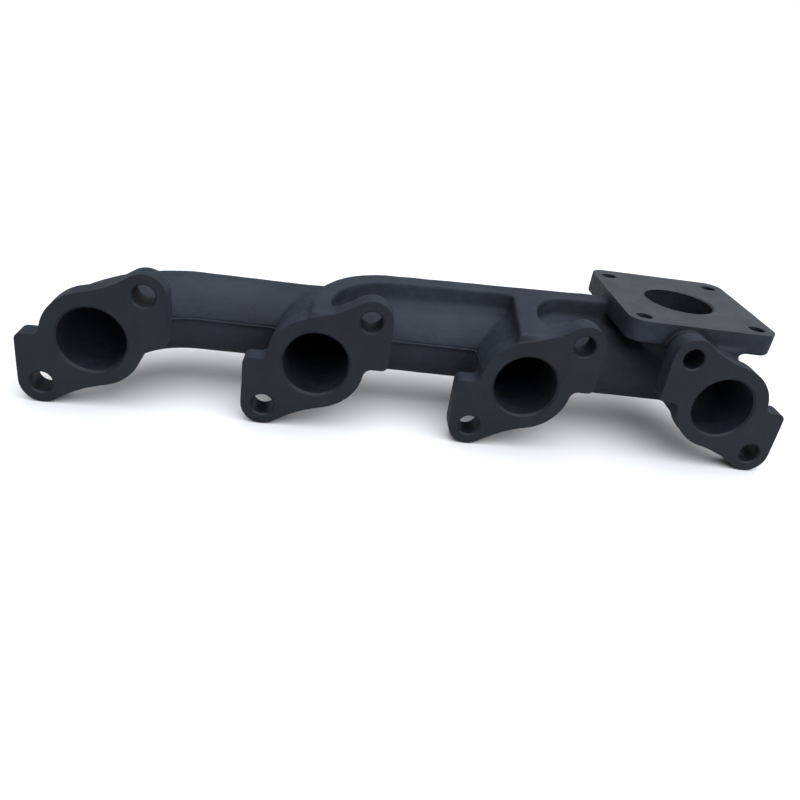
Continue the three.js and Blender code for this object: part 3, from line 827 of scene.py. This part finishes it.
def dressed(name, mesh, slots, face_of):
    """Turns a cut mesh into a finished piece. face_of gives each machined face its slot."""
    made = casting()
    mesh.name = name
    count = len(mesh.polygons)
    mesh.shade_smooth()
    mesh.set_sharp_from_angle(angle=SHARP_ANGLE)
    centres = read_vectors(mesh.polygons, "center") / MM
    flat = read_vectors(mesh.polygons, "normal")
    metal, step = made["metal"], made["metal"].step
    on_skin = (np.abs(metal.read(centres)) < SKIN_DEPTH * step) & (
        (metal.outward(centres) * flat).sum(1) > SKIN_AGREEMENT)
    in_passage = np.abs(made["passages"].read(centres)) < np.abs(made["outside"].read(centres))
    index = np.array([face_of(*rows) for rows in zip(centres, flat)]) if face_of else np.zeros(count, int)
    index[on_skin] = 0
    index[on_skin & in_passage] = 1
    mesh.materials.clear()
    for slot in slots:
        mesh.materials.append(finishes()[slot])
    mesh.polygons.foreach_set("material_index", index.astype(np.int32))

    totals = np.empty(count, np.int32)
    mesh.polygons.foreach_get("loop_total", totals)
    corner_skin = np.repeat(on_skin, totals)
    vertex = np.empty(len(mesh.loops), np.int32)
    mesh.loops.foreach_get("vertex_index", vertex)
    points = read_vectors(mesh.vertices, "co") / MM
    normals = read_vectors(mesh.corner_normals, "vector")
    outward = metal.outward(points)
    normals[corner_skin] = outward[vertex[corner_skin]]

    trimmed = made["trimmed"]
    steer = trimmed.outward(points)
    # A little way in from an edge is less deep than that, and a little way out of a hollow less far: the
    # second is the mask for painted shade in creases and hollows.
    edge = np.clip((trimmed.read(points - EDGE_REACH * steer) + EDGE_REACH) / EDGE_BAND, 0, 1)
    hollow = np.clip((HOLLOW_REACH - trimmed.read(points + HOLLOW_REACH * steer)) / HOLLOW_BAND, 0, 1)
    for label, values in (("edge", edge), ("hollow", hollow)):
        mesh.attributes.new(label, "FLOAT", "POINT").data.foreach_set("value", values.astype(np.float32))
    mesh.normals_split_custom_set(normals)
    return in_scene(name, mesh)


def settled(piece, slot, *nodes):
    """Puts the piece on the frame's root body and hides the CAD nodes it stands in for. slot is not used.
    """
    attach(piece, "root")
    if nodes:
        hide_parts(*nodes)
    return piece


def cast_piece(name):
    """A piece with no machined face: its cut ends meet the next pieces."""
    piece = dressed(f"cast_{name}", casting()["raw"][name], ("cast", "bore"), None)
    return settled(piece, "as_cast_paint", name)


# ---- Operators ----------------------------------------------------------------------------------

class MANIFOLD_OT_port_flanges(bpy.types.Operator):
    """Cuts the four port flanges, faces them and drills their ports and stud holes"""
    bl_idname = "manifold.port_flanges"
    bl_label = "Port Flanges"

    def execute(self, context):
        for n in PORTS:
            name = f"port_flange_{n}"
            mesh = casting()["raw"][name]
            profile = mouth(PORT_BORE_R - CHASE, PORT_CHAMFER + CHASE, 0)[:3]
            countersink = turned_cutter(profile, (PORT_X[n], 0, 0), "y", 96)
            mesh = combined(mesh, countersink, "DIFFERENCE")
            for side in (1, -1):
                centre = (PORT_X[n] + side * lean_of(n) * STUD[0], 0, side * STUD[1])
                profile = mouth(STUD_HOLE_R, STUD_CHAMFER, FLANGE_BACK + OVERLAP)
                drill = turned_cutter(profile, centre, "y", 64)
                mesh = combined(mesh, drill, "DIFFERENCE")

            def face_of(centre, normal):
                """A cut behind the port is a joint to the next piece. All else is machined."""
                return 0 if centre[1] > 0.02 + PORT_CHAMFER and abs(normal[1]) > 0.5 else 2

            piece = dressed(f"cast_{name}", mesh, ("cast", "bore", "face"), face_of)
            settled(piece, "machined_flange_paint", name)
        return {"FINISHED"}


class MANIFOLD_OT_port_necks(bpy.types.Operator):
    """Makes the four necks between the port flanges and the log"""
    bl_idname = "manifold.port_necks"
    bl_label = "Port Necks"

    def execute(self, context):
        for n in PORTS:
            cast_piece(f"port_neck_{n}")
        return {"FINISHED"}


class MANIFOLD_OT_log(bpy.types.Operator):
    """Makes the log's stretches, each in a lower and an upper half"""
    bl_idname = "manifold.log"
    bl_label = "Log"

    def execute(self, context):
        for stretch in STRETCHES:
            for half in ("lower", "upper"):
                cast_piece(f"{stretch}_{half}")
        return {"FINISHED"}


class MANIFOLD_OT_riser(bpy.types.Operator):
    """Makes the collector end of the log and the riser under the turbo flange"""
    bl_idname = "manifold.riser"
    bl_label = "Collector and Riser"

    def execute(self, context):
        cast_piece("collector_lower")
        cast_piece("turbo_riser")
        return {"FINISHED"}


class MANIFOLD_OT_ribs(bpy.types.Operator):
    """Makes the stiffening rib's two saddles and its two stretches along the crest"""
    bl_idname = "manifold.ribs"
    bl_label = "Stiffening Rib"

    def execute(self, context):
        for name in ("saddle_rib_2", "crest_rib_2_3", "saddle_rib_3", "crest_rib_3_4"):
            cast_piece(name)
        return {"FINISHED"}


class MANIFOLD_OT_turbo_flange(bpy.types.Operator):
    """Faces the turbo flange, bores it and drills its four holes"""
    bl_idname = "manifold.turbo_flange"
    bl_label = "Turbo Flange"

    def execute(self, context):
        mesh = casting()["raw"]["turbo_flange"]
        top = float(PLATE_HIGH[2])
        profile = mouth(TURBO_BORE_R, TURBO_CHAMFER, BORED_DEPTH)
        profile.append((TURBO_BORE_R - CHASE, BORED_DEPTH + CHASE))
        bore = turned_cutter(profile, (TURBO_X, TURBO_Y, top), "z", 96)
        mesh = combined(mesh, bore, "DIFFERENCE")
        half = TURBO_HOLE_SPACING / 2
        depth = float(PLATE_HIGH[2] - PLATE_LOW[2]) + OVERLAP
        for x, y in ((-half, -half), (half, -half), (half, half), (-half, half)):
            centre = (TURBO_X + x, TURBO_Y + y, top)
            drill = turned_cutter(mouth(TAPPED_R, TAPPED_CHAMFER, depth), centre, "z", 48)
            mesh = combined(mesh, drill, "DIFFERENCE")

        def face_of(centre, normal):
            return 2 if normal[2] > 0.5 else 1

        piece = dressed("cast_turbo_flange", mesh, ("cast", "bore", "plate"), face_of)
        settled(piece, "machined_flange_paint", "turbo_flange")
        return {"FINISHED"}


def outline_at(field, height):
    """The field's outline at one height, as points and the edges that join them."""
    level = int(round((height - field.low[2]) / field.step))
    values = field.values[:, :, level]
    places, number = crossing_points(values)
    flat = field.low[:2] + field.step * places
    points = np.column_stack([flat, np.full(len(flat), height)])
    edges = []
    for axis in (0, 1):
        at = changes_along(values < 0, axis)
        other = 1 - axis
        at = at[(at[:, other] > 0) & (at[:, other] < values.shape[other] - 1)]
        before = at.copy()
        before[:, other] -= 1
        edges.append(np.column_stack([number[tuple(before.T)], number[tuple(at.T)]]))
    return points, np.vstack(edges)


def baked(mesh, tree, inputs):
    """The mesh that a Geometry Nodes tree makes of another, as a plain mesh."""
    holder = in_scene("holder", mesh)
    modifier = holder.modifiers.new("nodes", "NODES")
    modifier.node_group = tree
    identifiers = {item.name: item.identifier for item in tree.interface.items_tree
                   if item.item_type == "SOCKET" and item.in_out == "INPUT"}
    for name, value in inputs.items():
        modifier[identifiers[name]] = value
    return plain_mesh(holder)


def new_tree(name, **sockets):
    """An empty Geometry Nodes tree with a geometry input and output, a finish, and named inputs."""
    tree = bpy.data.node_groups.new(name, "GeometryNodeTree")
    tree.interface.new_socket("Geometry", in_out="INPUT", socket_type="NodeSocketGeometry")
    tree.interface.new_socket("Geometry", in_out="OUTPUT", socket_type="NodeSocketGeometry")
    for label, kind in {**sockets, "Finish": "Material"}.items():
        tree.interface.new_socket(label, in_out="INPUT", socket_type=f"NodeSocket{kind}")
    return tree, node(tree, "NodeGroupInput").outputs, node(tree, "NodeGroupOutput")


def flash_tree():
    """A low ridge swept along a path, its height wandering with the fit of the mould halves."""
    tree, given, result = new_tree("parting_flash", Height="Float", Spacing="Float")
    path = node(tree, "GeometryNodeMeshToCurve", Mesh=given["Geometry"])
    even = node(tree, "GeometryNodeResampleCurve", {"mode": "LENGTH"}, Curve=path.outputs[0],
                Length=given["Spacing"])
    wander = node(tree, "ShaderNodeTexNoise", Scale=90.0, Detail=2.0)
    size = node(tree, "ShaderNodeMapRange", Value=wander.outputs["Fac"], _1=0.3, _2=0.7, _3=0.55, _4=1.1)
    scaled = node(tree, "GeometryNodeSetCurveRadius", Curve=even.outputs[0], Radius=size.outputs[0])
    profile = node(tree, "GeometryNodeCurvePrimitiveCircle", {"mode": "RADIUS"}, Resolution=8,
                   Radius=given["Height"])
    swept = node(tree, "GeometryNodeCurveToMesh", Curve=scaled.outputs[0],
                 Profile_Curve=profile.outputs["Curve"], Scale=size.outputs[0], Fill_Caps=True)
    real = node(tree, "GeometryNodeRealizeInstances", Geometry=swept.outputs[0])
    painted = node(tree, "GeometryNodeSetMaterial", Geometry=real.outputs[0], Material=given["Finish"])
    tree.links.new(painted.outputs[0], result.inputs[0])
    return tree


class MANIFOLD_OT_parting_line(bpy.types.Operator):
    """Runs the parting-line flash round the log and the necks"""
    bl_idname = "manifold.parting_line"
    bl_label = "Parting Line"

    def execute(self, context):
        made = casting()
        points, edges = outline_at(made["outside"], PARTING_Z)
        before_riser = (points[:, 0] < PORT_X[3]) | (points[:, 1] > LOG_Y)
        keep = (points[:, 1] > FLANGE_BACK + 1.5) & before_riser
        edges = edges[keep[edges].all(1)]
        path = bpy.data.meshes.new("parting_path")
        path.from_pydata((points * MM).tolist(), edges.tolist(), [])
        mesh = baked(path, flash_tree(), {
            "Height": sizes().flash_height, "Spacing": 2 * MM, "Finish": finishes()["cast"]})
        mesh.name = "parting_flash"
        mesh.shade_smooth()
        settled(in_scene("parting_flash", mesh), "as_cast_paint")
        return {"FINISHED"}


def thread_tree():
    """A helical ridge repeated at the corners of a square."""
    tree, given, result = new_tree("tapped_threads", Spacing="Float", Centre="Vector", Radius="Float",
                                   Pitch="Float", Turns="Float", Ridge="Float")
    corners = node(tree, "GeometryNodeMeshGrid", Size_X=given["Spacing"], Size_Y=given["Spacing"],
                   Vertices_X=2, Vertices_Y=2)
    height = node(tree, "ShaderNodeMath", {"operation": "MULTIPLY"}, _0=given["Pitch"], _1=given["Turns"])
    helix = node(tree, "GeometryNodeCurveSpiral", Resolution=28, Rotations=given["Turns"],
                 Start_Radius=given["Radius"], End_Radius=given["Radius"], Height=height.outputs[0])
    profile = node(tree, "GeometryNodeCurvePrimitiveCircle", {"mode": "RADIUS"}, Resolution=4,
                   Radius=given["Ridge"])
    swept = node(tree, "GeometryNodeCurveToMesh", Curve=helix.outputs[0],
                 Profile_Curve=profile.outputs["Curve"], Fill_Caps=True)
    placed = node(tree, "GeometryNodeInstanceOnPoints", Points=corners.outputs[0],
                  Instance=swept.outputs[0])
    moved = node(tree, "GeometryNodeTransform", Geometry=placed.outputs[0], Translation=given["Centre"])
    real = node(tree, "GeometryNodeRealizeInstances", Geometry=moved.outputs[0])
    painted = node(tree, "GeometryNodeSetMaterial", Geometry=real.outputs[0], Material=given["Finish"])
    tree.links.new(painted.outputs[0], result.inputs[0])
    return tree


class MANIFOLD_OT_threads(bpy.types.Operator):
    """Taps the turbo flange's four holes"""
    bl_idname = "manifold.threads"
    bl_label = "Tapped Threads"

    def execute(self, context):
        pitch = sizes().thread_pitch
        depth = float(PLATE_HIGH[2] - PLATE_LOW[2]) * MM
        turns = (depth - 2 * pitch) / pitch
        base = bpy.data.meshes.new("thread_base")
        mesh = baked(base, thread_tree(), {
            "Spacing": TURBO_HOLE_SPACING * MM, "Radius": TAPPED_R * MM, "Pitch": pitch, "Turns": turns,
            "Centre": (TURBO_X * MM, TURBO_Y * MM, PLATE_LOW[2] * MM + pitch), "Ridge": THREAD_RIDGE * MM,
            "Finish": finishes()["bore"]})
        mesh.name = "tapped_threads"
        settled(in_scene("tapped_threads", mesh), "machined_flange_paint")
        return {"FINISHED"}


class MANIFOLD_OT_stage(bpy.types.Operator):
    """Sets the pale floor, the soft light and the camera"""
    bl_idname = "manifold.stage"
    bl_label = "Stage"

    def execute(self, context):
        scene = context.scene
        look = scene.manifold_stage
        corners = np.array([(-1, -1, 0), (1, -1, 0), (1, 1, 0), (-1, 1, 0)]) * FLOOR_HALF / MM
        floor_mesh = mesh_from("floor", corners, np.array([(0, 1, 2, 3)]))
        floor_mesh.transform(Matrix.Translation((0, 0, CAD_BOX[0].z - FLOOR_GAP)))
        floor = in_scene("floor", floor_mesh)
        paper = bpy.data.materials.new("white_paper_rolled_backdrop")
        paper.use_nodes = True
        shader = paper.node_tree.nodes["Principled BSDF"]
        shader.inputs["Base Color"].default_value = (*look.floor_colour, 1)
        shader.inputs["Roughness"].default_value = 0.9
        shader.inputs["Specular IOR Level"].default_value = 0.1
        floor_mesh.materials.append(paper)

        world = bpy.data.worlds.new("soft_room")
        world.use_nodes = True
        tree = world.node_tree
        background = tree.nodes["Background"]
        background.inputs["Color"].default_value = (*look.room_colour, 1)
        background.inputs["Strength"].default_value = look.room_strength
        # Seen directly, the room is as white as the floor. What it casts on the object is dimmer.
        white = node(tree, "ShaderNodeBackground", Color=(1, 1, 1, 1), Strength=1.0)
        seen = node(tree, "ShaderNodeLightPath").outputs["Is Camera Ray"]
        both = node(tree, "ShaderNodeMixShader", _0=seen, _1=background.outputs[0], _2=white.outputs[0])
        tree.links.new(both.outputs[0], tree.nodes["World Output"].inputs["Surface"])
        scene.world = world
        sun = bpy.data.lights.new("overhead_softbox", "SUN")
        sun.energy = look.overhead_strength
        sun.angle = look.overhead_spread
        sun.color = look.overhead_colour
        lamp = in_scene("overhead_softbox", sun)
        lamp.rotation_euler = Vector(look.overhead_from).to_track_quat("Z", "Y").to_euler()

        data = bpy.data.cameras.new("camera")
        data.lens = look.lens
        data.sensor_width = 36.0
        data.clip_start, data.clip_end = 0.01, 30.0
        right = CAMERA_UP.cross(CAMERA_BACK).normalized()
        up = CAMERA_BACK.cross(right).normalized()
        turn = Matrix((right, up, CAMERA_BACK.normalized())).transposed()
        camera = in_scene("camera", data)
        camera.matrix_world = Matrix.Translation(Vector(look.camera_place)) @ turn.to_4x4()
        scene.camera = camera
        scene.view_settings.view_transform = "Standard"
        return {"FINISHED"}


# ---- Settings and panel -------------------------------------------------------------------------

def length(name, description, millimetres):
    return bpy.props.FloatProperty(name=name, description=description, default=millimetres * MM,
                                   min=0, unit="LENGTH", precision=5)


class ManifoldSizes(bpy.types.PropertyGroup):
    grid_step: length("Grid step", "Distance between the points that the casting is meshed from", 0.8)
    fillet: length("Fillet", "Hollow corner where riser, web and log meet", 2.6)
    neck_fillet: length("Neck fillet", "Hollow corner where the necks meet the log", 1.6)
    flange_fillet: length("Flange fillet", "Hollow corner behind each port flange", 2.4)
    flange_edge: length("Flange edge", "Rounding of a port flange's rear edge", 3.0)
    cast_edge: length("Cast edge", "Rounding of the turbo flange's lower edge", 1.4)
    rib_fillet: length("Rib fillet", "Hollow corner along the foot of the stiffening rib", 3.0)
    rib_edge: length("Rib edge", "Rounding along the top of the stiffening rib", 1.5)
    mould_shift: length("Mould shift", "How far the lower half steps in, and the upper one's lip out", 0.75)
    unevenness: length("Unevenness", "Height of the slow waviness left by the sand mould", 0.12)
    flash_height: length("Flash height", "Radius of the ridge along the parting line", 0.65)
    thread_pitch: length("Thread pitch", "Pitch of the tapped holes", 1.25)


class ManifoldFinish(bpy.types.PropertyGroup):
    wear: bpy.props.FloatProperty(name="Edge wear", description="How much grey iron shows along the edges",
                                  default=0.06, min=0, max=1, subtype="FACTOR")


def strength(name, description, default):
    return bpy.props.FloatProperty(name=name, description=description, default=default, min=0)


def colour(name, description, code):
    return bpy.props.FloatVectorProperty(name=name, description=description, default=linear(code),
                                         subtype="COLOR")


class ManifoldStage(bpy.types.PropertyGroup):
    floor_colour: colour("Floor colour", "Colour of the floor", "#cacaca")
    room_colour: colour("Room colour", "Colour of the room's light", "#f4f8ff")
    room_strength: strength("Room light", "Strength of the room's light", 0.3)
    overhead_colour: colour("Overhead colour", "Colour of the softbox", "#f6f8ff")
    overhead_strength: strength("Overhead light", "Strength of the softbox", 6.8)
    overhead_spread: bpy.props.FloatProperty(
        name="Overhead spread", description="How wide the softbox looks", default=math.radians(105),
        subtype="ANGLE")
    overhead_from: bpy.props.FloatVectorProperty(
        name="Overhead from", description="Where the softbox is", default=(0.2, -0.25, 1.0),
        subtype="DIRECTION")
    lens: bpy.props.FloatProperty(
        name="Focal length", description="Camera focal length", default=33.28, min=1, unit="CAMERA")
    camera_place: bpy.props.FloatVectorProperty(
        name="Camera place", description="Where the camera stands", subtype="TRANSLATION", precision=5,
        default=(-0.04745, -0.30203, 0.14826))


STEPS = (
    MANIFOLD_OT_port_flanges,
    MANIFOLD_OT_port_necks,
    MANIFOLD_OT_log,
    MANIFOLD_OT_riser,
    MANIFOLD_OT_ribs,
    MANIFOLD_OT_turbo_flange,
    MANIFOLD_OT_parting_line,
    MANIFOLD_OT_threads,
    MANIFOLD_OT_stage,
)


class MANIFOLD_PT_build(bpy.types.Panel):
    """Lists the sizes, the finish, the stage and the building steps"""
    bl_label = "Exhaust Manifold"
    bl_space_type = "VIEW_3D"
    bl_region_type = "UI"
    bl_category = "Manifold"

    def draw(self, context):
        scene = context.scene
        for group in (scene.manifold_sizes, scene.manifold_finish, scene.manifold_stage):
            column = self.layout.column(align=True)
            for name in group.__annotations__:
                column.prop(group, name)
        for step in STEPS:
            self.layout.operator(step.bl_idname)


GROUPS = {
    "manifold_sizes": ManifoldSizes,
    "manifold_finish": ManifoldFinish,
    "manifold_stage": ManifoldStage,
}
CLASSES = (*GROUPS.values(), *STEPS, MANIFOLD_PT_build)


def register():
    for kind in CLASSES:
        bpy.utils.register_class(kind)
    for name, kind in GROUPS.items():
        setattr(bpy.types.Scene, name, bpy.props.PointerProperty(type=kind))


def unregister():
    for name in GROUPS:
        delattr(bpy.types.Scene, name)
    for kind in reversed(CLASSES):
        bpy.utils.unregister_class(kind)


def main():
    register()
    for step in STEPS:
        group, name = step.bl_idname.split(".")
        getattr(getattr(bpy.ops, group), name)()


if __name__ == "__main__":
    main()
